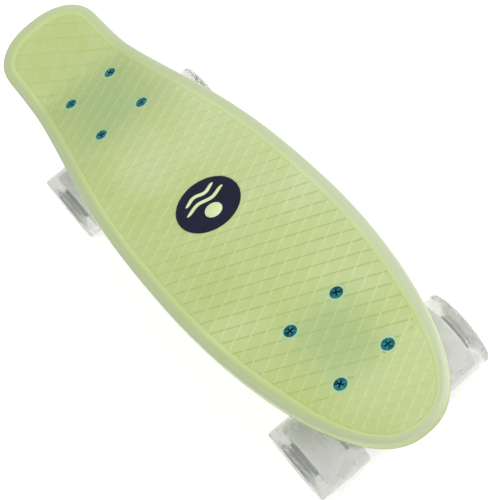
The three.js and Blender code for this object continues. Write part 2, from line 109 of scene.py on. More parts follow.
SHIELD_RING = {"inner": 6.4, "outer": 9.3, "depth": 0.5}
SPEED_WASHER = {"bore": 4.15, "r": 6.2, "from": 0.15, "thick": 1}
SPACER = {"bore": 4.2, "r": 5.6, "half": 7.9}
AXLE_NUT = {"flats": 13, "height": 5.6, "from": 16.5, "bore": 4.2}

# the border narrows towards the nose, and the grip stops a little inside it
NOSE_BORDER = {"x": (195, 275), "share": 0.6}
GRIP_SIDE = BORDER + 1.15
GRIP_END = BORDER + 1.4

# grip: the ridge's section, and each zone's ends, diamond cell [along, across], height of the lines of its
# first diagonal as a share of the others, and the painted highlight (+) or painted shade (-) on the lines
# of the two diagonals
RIDGE = {"half": 1.25, "height": 0.32, "lift": 0.06, "foot": 1.2}
NOSE_GRIP_X = 217
ZONE_OVERLAP = 0.06
GRIP_ZONES = [
    {"x": (KICK_X, NOSE_GRIP_X), "cell": (12.41, 21.33), "first_share": 0.8, "ridge_light_and_shade": (1, -1)},
    {"x": (NOSE_GRIP_X, NOSE_X), "cell": (9.8, 17.0), "first_share": 0.8, "ridge_light_and_shade": (0.6, -0.5)},
    {"x": (TAIL_X, KICK_X), "cell": (16.3, 21.0), "first_share": 0.35, "ridge_light_and_shade": (0.2, -1)},
]
BOLT_DISC_R = 6.6

BADGE = {"x": 14, "r": 26.2}
BADGE_TOP = HEAD_TOP + 0.4
INLAY_SINK, INLAY_RISE = 0.2, 0.12
SUN = {"x": 8.5, "r": 7}
WAVES = [("upper", -4.5, 18), ("lower", -13, 14)]
WAVE = {"swing": 1.6, "half": 1.6}

# ribs under the deck: how far each row runs
RIB = {"half": 1.5, "foot": -9}
RIB_ROWS = [(0, -250, 222), (-24, -250, 222), (24, -250, 222), (-46, -110, 150), (46, -110, 150)]

badge_lo, badge_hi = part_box("badge")
SHIFT_X = (badge_lo.x + badge_hi.x) / 2 / MM - BADGE["x"]
PAD_TOP = MOUNTS["front_foot_area"]["pos_m"][2] / MM - FIELD * math.cos(PAD_TILT)
SMOOTH_ANGLE = math.radians(34)


# ---- solids ----
def solid(points, faces):
    """A closed mesh object from points in millimetres."""
    mesh = bpy.data.meshes.new("solid")
    mesh.from_pydata([tuple(map(float, p)) for p in points], [], faces)
    made = bpy.data.objects.new("solid", mesh)
    bpy.context.scene.collection.objects.link(made)
    return made


def remove(made):
    mesh = made.data
    bpy.data.objects.remove(made)
    bpy.data.meshes.remove(mesh)


def apply_modifiers(made):
    """Makes the modifiers' result the object's own mesh."""
    bpy.context.view_layer.update()
    graph = bpy.context.evaluated_depsgraph_get()
    mesh = bpy.data.meshes.new_from_object(made.evaluated_get(graph))
    old = made.data
    made.modifiers.clear()
    made.data = mesh
    bpy.data.meshes.remove(old)
    return made


def combine(base, others, operation):
    """Joins, cuts or intersects base with each of the others, which are used up."""
    for other in others:
        boolean = base.modifiers.new("combine", "BOOLEAN")
        boolean.operation = operation
        boolean.solver = "MANIFOLD"
        boolean.object = other
        apply_modifiers(base)
        remove(other)
    return base


def union(base, *others):
    return combine(base, others, "UNION")


def cut(base, *others):
    return combine(base, others, "DIFFERENCE")


def shift(x, y, z):
    return Matrix.Translation((x, y, z))


def rotation(angle, axis):
    return Matrix.Rotation(angle, 4, axis)


def moved(made, matrix):
    made.data.transform(matrix)
    return made


def copy_of(made, matrix):
    copy = made.copy()
    copy.data = made.data.copy()
    bpy.context.scene.collection.objects.link(copy)
    return moved(copy, matrix)


def filleted(corners, steps=5):
    """Closed outline through corners (x, y, radius), with an arc at each corner that has a radius."""
    outline = []
    for i, (x, y, radius) in enumerate(corners):
        corner = Vector((x, y))
        if radius == 0:
            outline.append((x, y))
            continue
        before = Vector(corners[i - 1][:2]) - corner
        after = Vector(corners[(i + 1) % len(corners)][:2]) - corner
        half = before.angle(after) / 2
        reach = min(radius / math.tan(half), 0.49 * before.length, 0.49 * after.length)
        centre = corner + (before.normalized() + after.normalized()).normalized() * reach / math.cos(half)
        start = corner + before.normalized() * reach - centre
        end = corner + after.normalized() * reach - centre
        sweep = start.angle_signed(end)
        for k in range(steps + 1):
            spoke = start.copy()
            spoke.rotate(Matrix.Rotation(-sweep * k / steps, 2))
            outline.append(tuple(centre + spoke))
    return outline


def turned(profile, segments=48):
    """Closed turned solid. The profile (radius, height[, pitch]) runs anticlockwise in the r-z plane.
    Rows with a pitch carry a screw thread."""
    points, rows, faces = [], [], []
    for r, z, *screw in profile:
        if r == 0:
            rows.append([len(points)])
            points.append((0, 0, z))
            continue
        row = []
        for i in range(segments):
            a = 2 * math.pi * i / segments
            radius = r
            if screw:
                turn = (z / screw[0] - i / segments) % 1
                radius -= 1.1 * screw[0] * abs(turn - 0.5)
            row.append(len(points))
            points.append((radius * math.cos(a), radius * math.sin(a), z))
        rows.append(row)
    for k, a in enumerate(rows):
        b = rows[(k + 1) % len(rows)]
        for i in range(segments):
            j = (i + 1) % segments
            if len(a) > 1 and len(b) > 1:
                faces.append((a[i], a[j], b[j], b[i]))
            elif len(a) > 1:
                faces.append((a[i], a[j], b[0]))
            elif len(b) > 1:
                faces.append((a[0], b[j], b[i]))
    return solid(points, faces)


def mirrored_turned(upper, steps, segments):
    """Turned solid from the corners (radius, height, fillet) of its upper half, mirrored below z = 0."""
    corners = [(r, -z, fillet) for r, z, fillet in reversed(upper)] + upper
    return turned(filleted(corners, steps), segments)


def rod(r, z0, z1, segments=48):
    return turned([(0, z0), (r, z0), (r, z1), (0, z1)], segments)


def screw_rows(r, z0, z1, pitch):
    return [(r, z, pitch) for z in np.linspace(z0, z1, max(2, int(6 * (z1 - z0) / pitch)))]


def lofted(rings):
    """Closed solid through rings of points, from the lowest up, each anticlockwise seen from above."""
    n = len(rings[0])
    points = [p for ring in rings for p in ring]
    faces = [tuple(reversed(range(n))), tuple(range(len(points) - n, len(points)))]
    for k in range(len(rings) - 1):
        for i in range(n):
            j = (i + 1) % n
            faces.append((k * n + i, k * n + j, k * n + n + j, k * n + n + i))
    return solid(points, faces)


def rounded_rect(length, width, r):
    x, y = length / 2, width / 2
    return filleted([(-x, -y, r), (x, -y, r), (x, y, r), (-x, y, r)], 8)


def slab(size, corner, z0, z1, edges=(0.6, 0.6)):
    """Rounded rectangular plate from z0 to z1, with its lower and upper edges rounded."""
    rings = []
    for z, edge, up in ((z0, edges[0], 1), (z1, edges[1], -1)):
        turns = [math.pi / 2 * k / 3 for k in range(4)]
        level = [(edge * (1 - math.sin(t)), z + up * edge * (1 - math.cos(t))) for t in turns]
        for inset, height in level if up > 0 else reversed(level):
            ring = rounded_rect(size[0] - 2 * inset, size[1] - 2 * inset, corner - inset)
            rings.append([(x, y, height) for x, y in ring])
    return lofted(rings)


def box(x0, x1, y0, y1, z0, z1):
    return lofted([[(x0, y0, z), (x1, y0, z), (x1, y1, z), (x0, y1, z)] for z in (z0, z1)])


def across(outline, y0, y1):
    """Closed solid of an outline (x, z), anticlockwise with x right and z up, from y0 to y1."""
    return lofted([[(x, y, z) for x, z in reversed(outline)] for y in (y0, y1)])


def hex_nut(flats, height, bore):
    """Hexagonal nut on z = 0 with chamfered corners, and the nylon insert's collar on top."""
    corner = flats / math.sqrt(3)
    body = turned([(0, 0), (corner, 0), (corner, height), (0, height)], 6)
    top = height - 0.9
    r = flats / 2
    chamfer = turned([(0, 0), (r * 0.95, 0), (corner + 0.1, 1.0), (corner + 0.1, top - 1.1),
                      (r * 0.96, top), (r * 0.86, top), (r * 0.84, height - 0.3), (r * 0.76, height),
                      (0, height)], 60)
    combine(body, [chamfer], "INTERSECT")
    return cut(body, turned([(0, -1), (bore + 0.5, -1), (bore, 0.6), (bore, height - 0.6),
                             (bore + 0.4, height + 1), (0, height + 1)], 36))


def cast(made, voxel, rounds):
    """Gives a joined body the soft fillets of a casting."""
    remesh = made.modifiers.new("remesh", "REMESH")
    remesh.mode = "VOXEL"
    remesh.voxel_size = voxel
    smooth = made.modifiers.new("smooth", "SMOOTH")
    smooth.factor = 0.5
    smooth.iterations = rounds
    return apply_modifiers(made)


def piece(made, name, body, slot, materials, *nodes):
    """Turns a solid in millimetres into a named piece that rides on a body and stands for CAD nodes."""
    made.name = made.data.name = name
    made.data.transform(Matrix.Scale(MM, 4))
    made.data.materials.clear()
    for material in materials:
        made.data.materials.append(material)
    made.data.shade_smooth()
    made.data.set_sharp_from_angle(angle=SMOOTH_ANGLE)
    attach(made, body)
    if nodes:
        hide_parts(*nodes)
    return made


def second_material(made, place, inside):
    """Gives the second material to the faces that inside(radius, height) picks in the piece's own frame."""
    home = place.inverted()
    for face in made.data.polygons:
        x, y, z = home @ (face.center / MM)
        if inside(math.hypot(x, y), z):
            face.material_index = 1


# ---- deck line and outline ----
PAD_SLOPE, KICK_SLOPE = math.tan(PAD_TILT), math.tan(KICK_TILT)
KNOTS = np.array([TAIL_X - 20, KICK_X - KICK_BEND, KICK_X + KICK_BEND,
                  MID_X - ARCH_HALF, MID_X + ARCH_HALF, NOSE_X + 20], float)
SLOPES = np.array([-KICK_SLOPE, -KICK_SLOPE, PAD_SLOPE, PAD_SLOPE, -PAD_SLOPE, -PAD_SLOPE])
RISES = np.concatenate([[0], np.cumsum((SLOPES[1:] + SLOPES[:-1]) / 2 * np.diff(KNOTS))])


def deck_line(x):
    """Height of the border's top at x, and its slope."""
    x = np.asarray(x, float)
    slope = np.interp(x, KNOTS, SLOPES)
    k = np.clip(np.searchsorted(KNOTS, x, side="right") - 1, 0, len(KNOTS) - 2)
    return RISES[k] + (SLOPES[k] + slope) / 2 * (x - KNOTS[k]), slope


LINE_BASE = PAD_TOP - float(deck_line(MID_X + PAD_SPACING / 2)[0])


def on_deck(points):
    """Moves flat points (x, y, h) on to the bent deck, h along its normal."""
    x, y, h = np.asarray(points, float).reshape(-1, 3).T
    z, slope = deck_line(x)
    n = np.hypot(1, slope)
    return np.stack([x - h * slope / n + SHIFT_X, y, z + LINE_BASE + h / n], 1)


def off_deck(points):
    """The flat points (x, y, h) of points on the bent deck."""
    px, y, pz = np.asarray(points, float).T
    px, pz = px - SHIFT_X, pz - LINE_BASE
    x = px.copy()
    for _ in range(6):
        z, slope = deck_line(x)
        n = np.hypot(1, slope)
        x += ((px - x) + (pz - z) * slope) / n**2
    z, slope = deck_line(x)
    n = np.hypot(1, slope)
    return np.stack([x, y, ((pz - z) - (px - x) * slope) / n], 1)


def half_width(x):
    """Half the deck's width at x, before its ends are rounded."""
    if x >= WIDEST_X:
        return HALF_WIDTH
    t = min(1, (WIDEST_X - x) / TAPER_LENGTH)
    blend = (1 + math.cos(math.pi * t**TAPER_POWER)) / 2
    return TAIL_HALF_WIDTH + (HALF_WIDTH - TAIL_HALF_WIDTH) * blend


def half_outline():
    """Left half of the deck's outline, from the tail's middle to the nose's middle."""
    cap_x = TAIL_X + TAIL_CAP
    points = []
    for a in np.linspace(0, math.pi / 2, 26):
        x = cap_x - TAIL_CAP * math.cos(a) ** (2 / TAIL_POWER)
        points.append((x, half_width(x) * math.sin(a) ** (2 / TAIL_POWER)))
    points += [(x, half_width(x)) for x in np.arange(cap_x + 4, WIDEST_X - 2, 4)]
    for a in np.linspace(0, math.pi / 2, 52):
        x = WIDEST_X + (NOSE_X - WIDEST_X) * math.sin(a) ** (2 / NOSE_POWERS[0])
        points.append((x, HALF_WIDTH * math.cos(a) ** (2 / NOSE_POWERS[1])))
    points[0] = (points[0][0], 0)
    points[-1] = (points[-1][0], 0)
    return np.array(points)


HALF = half_outline()
OUTLINE = np.concatenate([HALF * (1, -1), HALF[-2:0:-1]])


def border_share(x):
    """The border's width as a share of BORDER: it narrows towards the nose."""
    return np.interp(x, NOSE_BORDER["x"], (1, NOSE_BORDER["share"]))


def inset_outline(inset, share=1.0):
    """The deck's outline moved inward by inset, times share point by point."""
    along = np.roll(OUTLINE, -1, 0) - np.roll(OUTLINE, 1, 0)
    along /= np.hypot(*along.T)[:, None]
    return OUTLINE + (inset * np.stack([-along[:, 1], along[:, 0]]) * share).T


def deck_shell():
    """The deck's moulding without grip, ribs and pads: a tray with a thick rounded rim."""
    floor = FIELD - SHELL
    arc = np.linspace(0, math.pi / 2, 6)
    step = [(1.9, 1), (1.0, 0.94), (-0.2, 0.76), (-1.5, 0.5), (-2.8, 0.24), (-3.8, 0.07), (-4.6, 0)]
    rings = [(EDGE_R * (1 - math.sin(a)), EDGE_R * (math.cos(a) - 1)) for a in arc]
    rings += [(0, -5.0), (0.15, -5.2), (0, -5.4), (0, 1.2 - RIM_DEPTH), (0.35, 0.35 - RIM_DEPTH),
              (1.2, -RIM_DEPTH), (RIM_WALL - 1, -RIM_DEPTH), (RIM_WALL - 0.2, 0.6 - RIM_DEPTH),
              (RIM_WALL, 1.4 - RIM_DEPTH), (RIM_WALL + 0.5, floor - 1.6), (RIM_WALL + 1.1, floor - 0.5),
              (RIM_WALL + 2.4, floor)]
    n = len(OUTLINE)
    points = []
    for offset, depth in step:
        edge = inset_outline(BORDER + offset, border_share(OUTLINE[:, 0]))
        points += [(x, y, FIELD * depth) for x, y in edge]
    for inset, h in rings:
        points += [(x, y, h) for x, y in inset_outline(inset)]
    faces = []
    last = len(points) - n
    for k in range(0, last, n):
        for i in range(n):
            j = (i + 1) % n
            faces.append((k + i, k + n + i, k + n + j, k + j))
    for i in range(n // 2):
        p, q = (n - i) % n, n - i - 1
        top = [i, i + 1, q, p]
        if i == 0:
            top = [0, 1, q]
        elif i + 1 == q:
            top = [i, q, p]
        faces.append(tuple(top))
        faces.append(tuple(last + k for k in reversed(top)))
    return solid(on_deck(points), faces)


def swept(sections):
    """Closed solid along the deck from sections [(x, y, h), ...], each anticlockwise seen from the nose."""
    rings = [on_deck(section) for section in sections]
    return lofted([list(map(tuple, ring)) for ring in rings])


def field_prism(x0, x1):
    """The field between x0 and x1, as a tall block inside the border's groove."""
    edge = inset_outline(GRIP_SIDE, border_share(OUTLINE[:, 0]))[1 : len(HALF) - 1] * (1, -1)
    xs = [x0] + [x for x in edge[:, 0] if x0 + 0.5 < x < x1 - 0.5] + [min(x1, edge[:, 0].max())]
    widths = np.interp(xs, edge[:, 0], edge[:, 1])
    return swept([[(x, -y, -3), (x, y, -3), (x, y, 3), (x, -y, 3)] for x, y in zip(xs, widths)])


def diamond_grip(cell, x0, x1, half_y, first_share):
    """Raised lines along two diagonals, as the top of a thin block that covers x0 to x1. The lines of
    the first diagonal are first_share as high as the others."""
    pitch = cell[0] * cell[1] / math.hypot(*cell)
    half = RIDGE["half"] / pitch
    offsets = [half * share for share in (-1, -0.8, -0.5, 0, 0.5, 0.8, 1)]
    heights = [0, 0.14, 0.62, 1, 0.62, 0.14, 0]
    reach = (x1 - x0) / 2 / cell[0] + half_y / cell[1]
    middle = (x0 + x1) / 2 / cell[0]
    lines = []
    for index in range(math.floor(middle - reach) - 1, math.ceil(middle + reach) + 2):
        lines += [(index + o, height) for o, height in zip(offsets, heights)]
    n = len(lines)
    a, b = np.meshgrid([line[0] for line in lines], [line[0] for line in lines], indexing="ij")
    ha, hb = np.meshgrid([line[1] for line in lines], [line[1] for line in lines], indexing="ij")
    x = cell[0] * (a + b) / 2
    y = cell[1] * (a - b) / 2
    top = FIELD + RIDGE["lift"] + RIDGE["height"] * np.maximum(ha * first_share, hb)
    floor = np.full_like(top, FIELD - RIDGE["foot"])
    points = np.concatenate([np.stack([x, y, z], -1).reshape(-1, 3) for z in (top, floor)])
    faces = []
    for i in range(n - 1):
        for j in range(n - 1):
            p = i * n + j
            near_x = abs(x[i, j] - (x0 + x1) / 2) < (x1 - x0) / 2 + cell[0]
            if near_x and abs(y[i, j]) < half_y + cell[1]:
                faces.append((p, p + 1, p + n + 1, p + n))
    return trimmed_block(points, faces, n * n)


def trimmed_block(points, top_faces, lower):
    """Closes a sheet of quads into a block: each point's lower twin comes `lower` points later."""
    edges = dict.fromkeys((face[k], face[(k + 1) % 4]) for face in top_faces for k in range(4))
    faces = [tuple(reversed(face)) for face in top_faces]
    faces += [tuple(k + lower for k in face) for face in top_faces]
    for p, q in edges:
        if (q, p) not in edges:
            faces.append((p, q, q + lower, p + lower))
    used = sorted({k for face in faces for k in face})
    index = {k: i for i, k in enumerate(used)}
    return solid(on_deck(points[used]), [tuple(index[k] for k in face) for face in faces])


# ---- truck frames ----
ENDS = (("front", 1), ("rear", -1))


def pad_matrix(side, h):
    """From a truck's own frame, x outward and z up, to the board, h above the deck line at the pad."""
    spot = on_deck([(MID_X + side * PAD_SPACING / 2, 0, h)])[0]
    half_turn = rotation(0 if side > 0 else math.pi, "Z")
    return shift(*spot) @ rotation(side * PAD_TILT, "Y") @ half_turn


def side_name(side, sy):
    return "left" if side * sy > 0 else "right"


PIVOT_ANGLE = math.atan2(PIVOT["z"] - RING["z"], PIVOT["x"] - RING["x"])
RING_CENTRE = shift(RING["x"], 0, RING["z"])
ALONG_PIVOT = RING_CENTRE @ rotation(math.pi / 2 - PIVOT_ANGLE, "Y")
ALONG_KINGPIN = RING_CENTRE @ rotation(KINGPIN_TILT, "Y")
ALONG_AXLE = shift(AXLE["x"], 0, AXLE["z"]) @ rotation(-math.pi / 2, "X")

BOLT_SPOTS = [(row, sy, sx * HOLES[0] / 2, sy * HOLES[1] / 2)
              for row, sx in (("outer", 1), ("inner", -1)) for sy in (1, -1)]

# heights along the kingpin, from the ring's middle
UPPER_BUSHING = (RING["thick"] / 2 + GAP, RING["thick"] / 2 + GAP + BUSHING["upper"])
LOWER_BUSHING = (-RING["thick"] / 2 - GAP - BUSHING["lower"], -RING["thick"] / 2 - GAP)
UPPER_WASHER_Z = UPPER_BUSHING[1] + GAP
LOWER_WASHER_Z = LOWER_BUSHING[0] - GAP - WASHER["thick"]
BOSS_FROM = UPPER_WASHER_Z + WASHER["thick"] + GAP
NUT_TOP = LOWER_WASHER_Z - GAP


# ---- materials ----
def rgb(code):
    """Linear colour of a six-digit sRGB code."""
    parts = [int(code[k : k + 2], 16) / 255 for k in (0, 2, 4)]
    return tuple(c / 12.92 if c <= 0.04045 else ((c + 0.055) / 1.055) ** 2.4 for c in parts) + (1,)


class Finish:
    """A material: one Principled shader, with procedural detail in the object's own space."""

    def __init__(self, name, **sockets):
        self.material = bpy.data.materials.new(name)
        self.material.use_nodes = True
        self.tree = self.material.node_tree
        self.shader = self.tree.nodes["Principled BSDF"]
        for socket, value in sockets.items():
            self.shader.inputs[socket.replace("_", " ")].default_value = value
        self.place = self.add("ShaderNodeTexCoord").outputs["Object"]

    def add(self, kind, **settings):
        node = self.tree.nodes.new(kind)
        for key, value in settings.items():
            setattr(node, key, value)
        return node

    def feed(self, socket, value):
        if isinstance(value, bpy.types.NodeSocket):
            self.tree.links.new(value, socket)
        else:
            socket.default_value = value

    def to(self, socket, value):
        self.feed(self.shader.inputs[socket], value)

    def noise(self, size, detail=3.0, roughness=0.5, stretch=(1, 1, 1)):
        """Noise whose features are about size millimetres across, drawn out by stretch."""
        mapping = self.add("ShaderNodeMapping")
        self.feed(mapping.inputs["Vector"], self.place)
        mapping.inputs["Scale"].default_value = tuple(1 / s for s in stretch)
        node = self.add("ShaderNodeTexNoise")
        self.feed(node.inputs["Vector"], mapping.outputs["Vector"])
        node.inputs["Scale"].default_value = 1 / (size * MM)
        node.inputs["Detail"].default_value = detail
        node.inputs["Roughness"].default_value = roughness
        return node.outputs["Fac"]

    def spread(self, value, low, high, to_low=0.0, to_high=1.0):
        """Smooth step of value from low to high."""
        node = self.add("ShaderNodeMapRange", interpolation_type="SMOOTHSTEP")
        keys = ("Value", "From Min", "From Max", "To Min", "To Max")
        for key, number in zip(keys, (value, low, high, to_low, to_high)):
            self.feed(node.inputs[key], number)
        return node.outputs["Result"]

    def math(self, operation, a, b=0.0):
        node = self.add("ShaderNodeMath", operation=operation)
        self.feed(node.inputs[0], a)
        self.feed(node.inputs[1], b)
        return node.outputs["Value"]

    def times(self, a, b):
        return self.math("MULTIPLY", a, b)

    def mix(self, share, a, b):
        node = self.add("ShaderNodeMix", data_type="RGBA")
        self.feed(node.inputs["Factor"], share)
        self.feed(node.inputs[6], a)
        self.feed(node.inputs[7], b)
        return node.outputs[2]

    def attribute(self, name):
        return self.add("ShaderNodeAttribute", attribute_name=name).outputs["Fac"]

    def bump(self, height, strength, distance):
        node = self.add("ShaderNodeBump")
        node.inputs["Strength"].default_value = strength
        node.inputs["Distance"].default_value = distance * MM
        self.feed(node.inputs["Height"], height)
        self.to("Normal", node.outputs["Normal"])


def deck_field(f, x, y):
    """The gripped field's colour: cloudy, with painted light that makes it paler to the left and in the
    middle, painted shade and tints where the trucks and bolts show through, and painted highlight and shade
    on its ridges. Places x and y are in metres."""
    cloud = f.spread(f.noise(70, 2.0), 0.36, 0.64)
    streak = f.spread(f.noise(26, 3.0, stretch=(1.8, 1, 1)), 0.35, 0.68)
    # painted light: the field is painted paler to the left and towards the middle, where the light falls
    painted_light_left = f.spread(y, -0.065, 0.075)
    painted_light_middle = f.spread(f.math("ABSOLUTE", x), 0.06, 0.24, 1, 0.35)
    yellow = f.mix(cloud, rgb("bdce7c"), rgb("c7d78f"))
    painted_lit_field = f.mix(cloud, rgb("c8d893"), rgb("d1dfa4"))
    field = f.mix(f.times(painted_light_left, painted_light_middle), yellow, painted_lit_field)
    field = f.mix(f.times(streak, 0.3), field, rgb("c9d9a0"))

    # painted shade where the nearer truck shows through the plastic: u along and v across, from its middle
    mid = (MID_X + SHIFT_X) * MM
    from_mid = f.math("ABSOLUTE", f.math("SUBTRACT", x, mid))
    u = f.math("ABSOLUTE", f.math("SUBTRACT", from_mid, PAD_SPACING / 2 * MM))
    v = f.math("ABSOLUTE", y)
    shade = f.times(f.spread(u, 0.025, 0.08, 1, 0), f.spread(v, 0.025, 0.08, 1, 0))
    field = f.mix(f.times(shade, f.spread(x, -0.1, 0.1, 0.52, 0)), field, rgb("9cb468"))
    # painted tint where the baseplate shows through the plastic
    plate = f.times(f.spread(u, 0.01, 0.05, 1, 0), f.spread(v, 0.004, 0.042, 1, 0))
    field = f.mix(f.times(plate, f.spread(x, -0.1, 0.1, 0.7, 0.65)), field, rgb("a3c083"))
    # painted teal glow round each bolt, where its colour shows through the plastic
    du = f.math("SUBTRACT", u, HOLES[0] / 2 * MM)
    dv = f.math("SUBTRACT", v, HOLES[1] / 2 * MM)
    from_bolt = f.math("SQRT", f.math("ADD", f.times(du, du), f.times(dv, dv)))
    field = f.mix(f.spread(from_bolt, 0.0045, 0.0085, 0.55, 0), field, rgb("8cc2a0"))

    # painted highlight and shade on the ridges: towards the front the painted shade gets stronger and the
    # painted highlight fades
    ridge = f.attribute("ridge")
    to_front = f.spread(x, -0.04, 0.11)
    field = f.mix(f.spread(ridge, 0, 1, 0, f.spread(to_front, 0, 1, 0.16, 0)), field, rgb("d3e0aa"))
    return f.mix(f.spread(ridge, -1, 0, f.spread(to_front, 0, 1, 0.42, 0.8), 0), field, rgb("9fb566"))


def deck_border(f, x, y, inset):
    """The border's colour: painted light makes it paler on the left and painted shade darker on the right;
    paler towards the nose and greyer at its outer rim.
    """
    # painted shade on the right side and painted light on the left side, where the light falls
    right = f.mix(f.noise(30, 2.0), rgb("a9b784"), rgb("b1bf8e"))
    left = f.mix(f.spread(x, -0.2, 0.16), rgb("bac79a"), rgb("c0cba8"))
    border = f.mix(f.spread(y, -0.07, 0.05), right, left)
    return f.mix(f.spread(inset, 0.8, 4.5, 0.55, 0), border, rgb("b9c1a5"))


def deck_plastic():
    """Milky green plastic. The attributes inset and height say where on the moulding a point is."""
    f = Finish("deck_plastic", Subsurface_Weight=0.18, Subsurface_Scale=0.004, IOR=1.46)
    f.shader.inputs["Subsurface Radius"].default_value = (0.9, 1.0, 0.5)
    axes = f.add("ShaderNodeSeparateXYZ")
    f.feed(axes.inputs[0], f.place)
    x, y = axes.outputs[0], axes.outputs[1]
    inset, height = f.attribute("inset"), f.attribute("height")
    in_field = f.spread(inset, BORDER - 4.5, BORDER + 1.4)
    base = f.mix(in_field, deck_border(f, x, y, inset), deck_field(f, x, y))
    # painted shade in the step at the border's inner edge
    step = f.times(f.spread(inset, BORDER - 0.6, BORDER + 0.8),
                   f.spread(inset, BORDER + 0.8, BORDER + 2.2, 1, 0))
    base = f.mix(f.times(step, 0.3), base, rgb("a5b974"))
    base = f.mix(f.spread(height, -5, -2.6, 1, 0), base, rgb("b7c586"))
    # painted shade along the bottom of the rim's outer wall
    foot = f.times(f.spread(height, -9.4, -6.5, 1, 0), f.spread(inset, 1, 3, 1, 0))
    base = f.mix(foot, base, rgb("8d9569"))
    f.to("Base Color", base)
    f.to("Roughness", f.spread(f.noise(9, 4.0), 0.3, 0.7, 0.36, 0.5))
    f.bump(f.noise(0.7, 4.0, 0.6), 0.12, 0.2)
    return f.material


def metal(name, dark, light, rough, grain=0.6, stretch=(1, 1, 1), scuffs=0.25, bump=0.15):
    """Metal with blotches, fine grain and worn edges."""
    f = Finish(name, Metallic=1.0)
    base = f.mix(f.spread(f.noise(7, 4.0), 0.35, 0.65), rgb(dark), rgb(light))
    edge = f.add("ShaderNodeNewGeometry").outputs["Pointiness"]
    worn = f.times(f.spread(edge, 0.52, 0.62), scuffs)
    f.to("Base Color", f.mix(worn, base, rgb("f2f3f4")))
    f.to("Roughness", f.spread(f.noise(3, 5.0, stretch=stretch), 0.3, 0.7, rough[0], rough[1]))
    f.bump(f.noise(grain, 4.0, 0.65, stretch), bump, 0.15)
    return f.material


def plastic(name, dark, light, rough, grain=0.8, bump=0.15, size=12, edge=None, **sockets):
    """Moulded plastic or rubber with cloudy colour, a fine grain and, if asked for, painted grey shade on
    its edges.
    """
    f = Finish(name, **sockets)
    base = f.mix(f.spread(f.noise(size, 4.0), 0.3, 0.7), rgb(dark), rgb(light))
    if edge:
        # painted shade: a grey colour on the rounded edges, where a clear part looks darker
        outward = f.add("ShaderNodeNewGeometry").outputs["Pointiness"]
        base = f.mix(f.spread(outward, 0.5, 0.56, 0, 0.85), base, rgb(edge))
    f.to("Base Color", base)
    f.to("Roughness", f.spread(f.noise(size / 3, 4.0), 0.3, 0.7, rough[0], rough[1]))
    f.bump(f.noise(grain, 4.0, 0.6), bump, 0.15)
    return f.material


DECK = deck_plastic()
NAVY = plastic("badge_navy", "111428", "171b33", (0.4, 0.55), grain=0.5, Specular_IOR_Level=0.12)
INLAY = plastic("badge_inlay", "cbdca0", "d6e4b2", (0.4, 0.55), grain=0.5)
TEAL_ZINC = metal("teal_zinc", "0a4c58", "157480", (0.3, 0.45), grain=0.5, scuffs=0.08)
ZINC = metal("bright_zinc", "a9adb2", "cfd2d6", (0.24, 0.4), grain=0.5)
STEEL = metal("turned_steel", "85898e", "b0b4b9", (0.2, 0.36), grain=0.35, stretch=(8, 8, 0.4))
CAST = metal("cast_aluminium", "a7abae", "c3c6c8", (0.34, 0.52), grain=0.5, scuffs=0.3, bump=0.3)
# bearing steel painted dark: painted shade for the dark bearing seats seen through the clear tyre
RACE_PAINTED_DARK = metal("bearing_steel_painted_shade", "4a4d50", "7c8084", (0.14, 0.26), grain=0.3, scuffs=0.1, bump=0.05)
SHIELD = plastic("bearing_shield", "1f2224", "2c3032", (0.4, 0.6), size=5)
NYLON = plastic("nylon_insert", "d8dadb", "e8eaea", (0.4, 0.55), size=5)
RUBBER = plastic("riser_rubber", "4f7d78", "5c8c84", (0.6, 0.78), grain=0.5, bump=0.3)
URETHANE = plastic("bushing_urethane", "dfe3d8", "eef0e8", (0.3, 0.45), Subsurface_Weight=0.3,
                   Subsurface_Scale=0.003)
CUP_PLASTIC = plastic("cup_plastic", "dcdcd8", "ebebe7", (0.4, 0.55))
# the clear tyre gets painted grey shade on its rounded edges
CLEAR = plastic("clear_urethane", "eeeeeb", "f9f9f6", (0.03, 0.08), grain=6, bump=0.03, size=9,
                edge="b4b5b1", Transmission_Weight=0.72, IOR=1.32)
MILKY = plastic("milky_core", "e6e8e8", "f4f5f4", (0.3, 0.45), Subsurface_Weight=0.3,
                Subsurface_Scale=0.003)


# ---- camera, floor and light ----
def make_camera():
    data = bpy.data.cameras.new("camera")
    data.lens = 124.39
    data.sensor_width = 36
    data.clip_start, data.clip_end = 0.05, 50
    camera = bpy.data.objects.new("camera", data)
    camera.location = (0.92717, -0.11438, 0.99281)
    camera.rotation_euler = [math.radians(a) for a in (38.6658, 23.2046, 56.4562)]
    bpy.context.scene.collection.objects.link(camera)
    bpy.context.scene.camera = camera


def make_floor():
    floor = solid([(-6, -6, 0), (6, -6, 0), (6, 6, 0), (-6, 6, 0)], [(0, 1, 2, 3)])
    floor.name = floor.data.name = "floor"
    f = Finish("floor_paper", Roughness=0.9, Emission_Color=(1, 1, 1, 1), Emission_Strength=0.42)
    f.to("Base Color", f.mix(f.noise(400, 2.0), rgb("f4f4f4"), rgb("f7f7f7")))
    floor.data.materials.append(f.material)
    floor.location.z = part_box("tyre_front_left")[0].z


def area_light(name, spot, target, size, watts):
    data = bpy.data.lights.new(name, "AREA")
    data.shape = "DISK"
    data.size = size
    data.energy = watts
    light = bpy.data.objects.new(name, data)
    light.location = spot
    light.rotation_euler = (Vector(target) - Vector(spot)).to_track_quat("-Z", "Y").to_euler()
    bpy.context.scene.collection.objects.link(light)


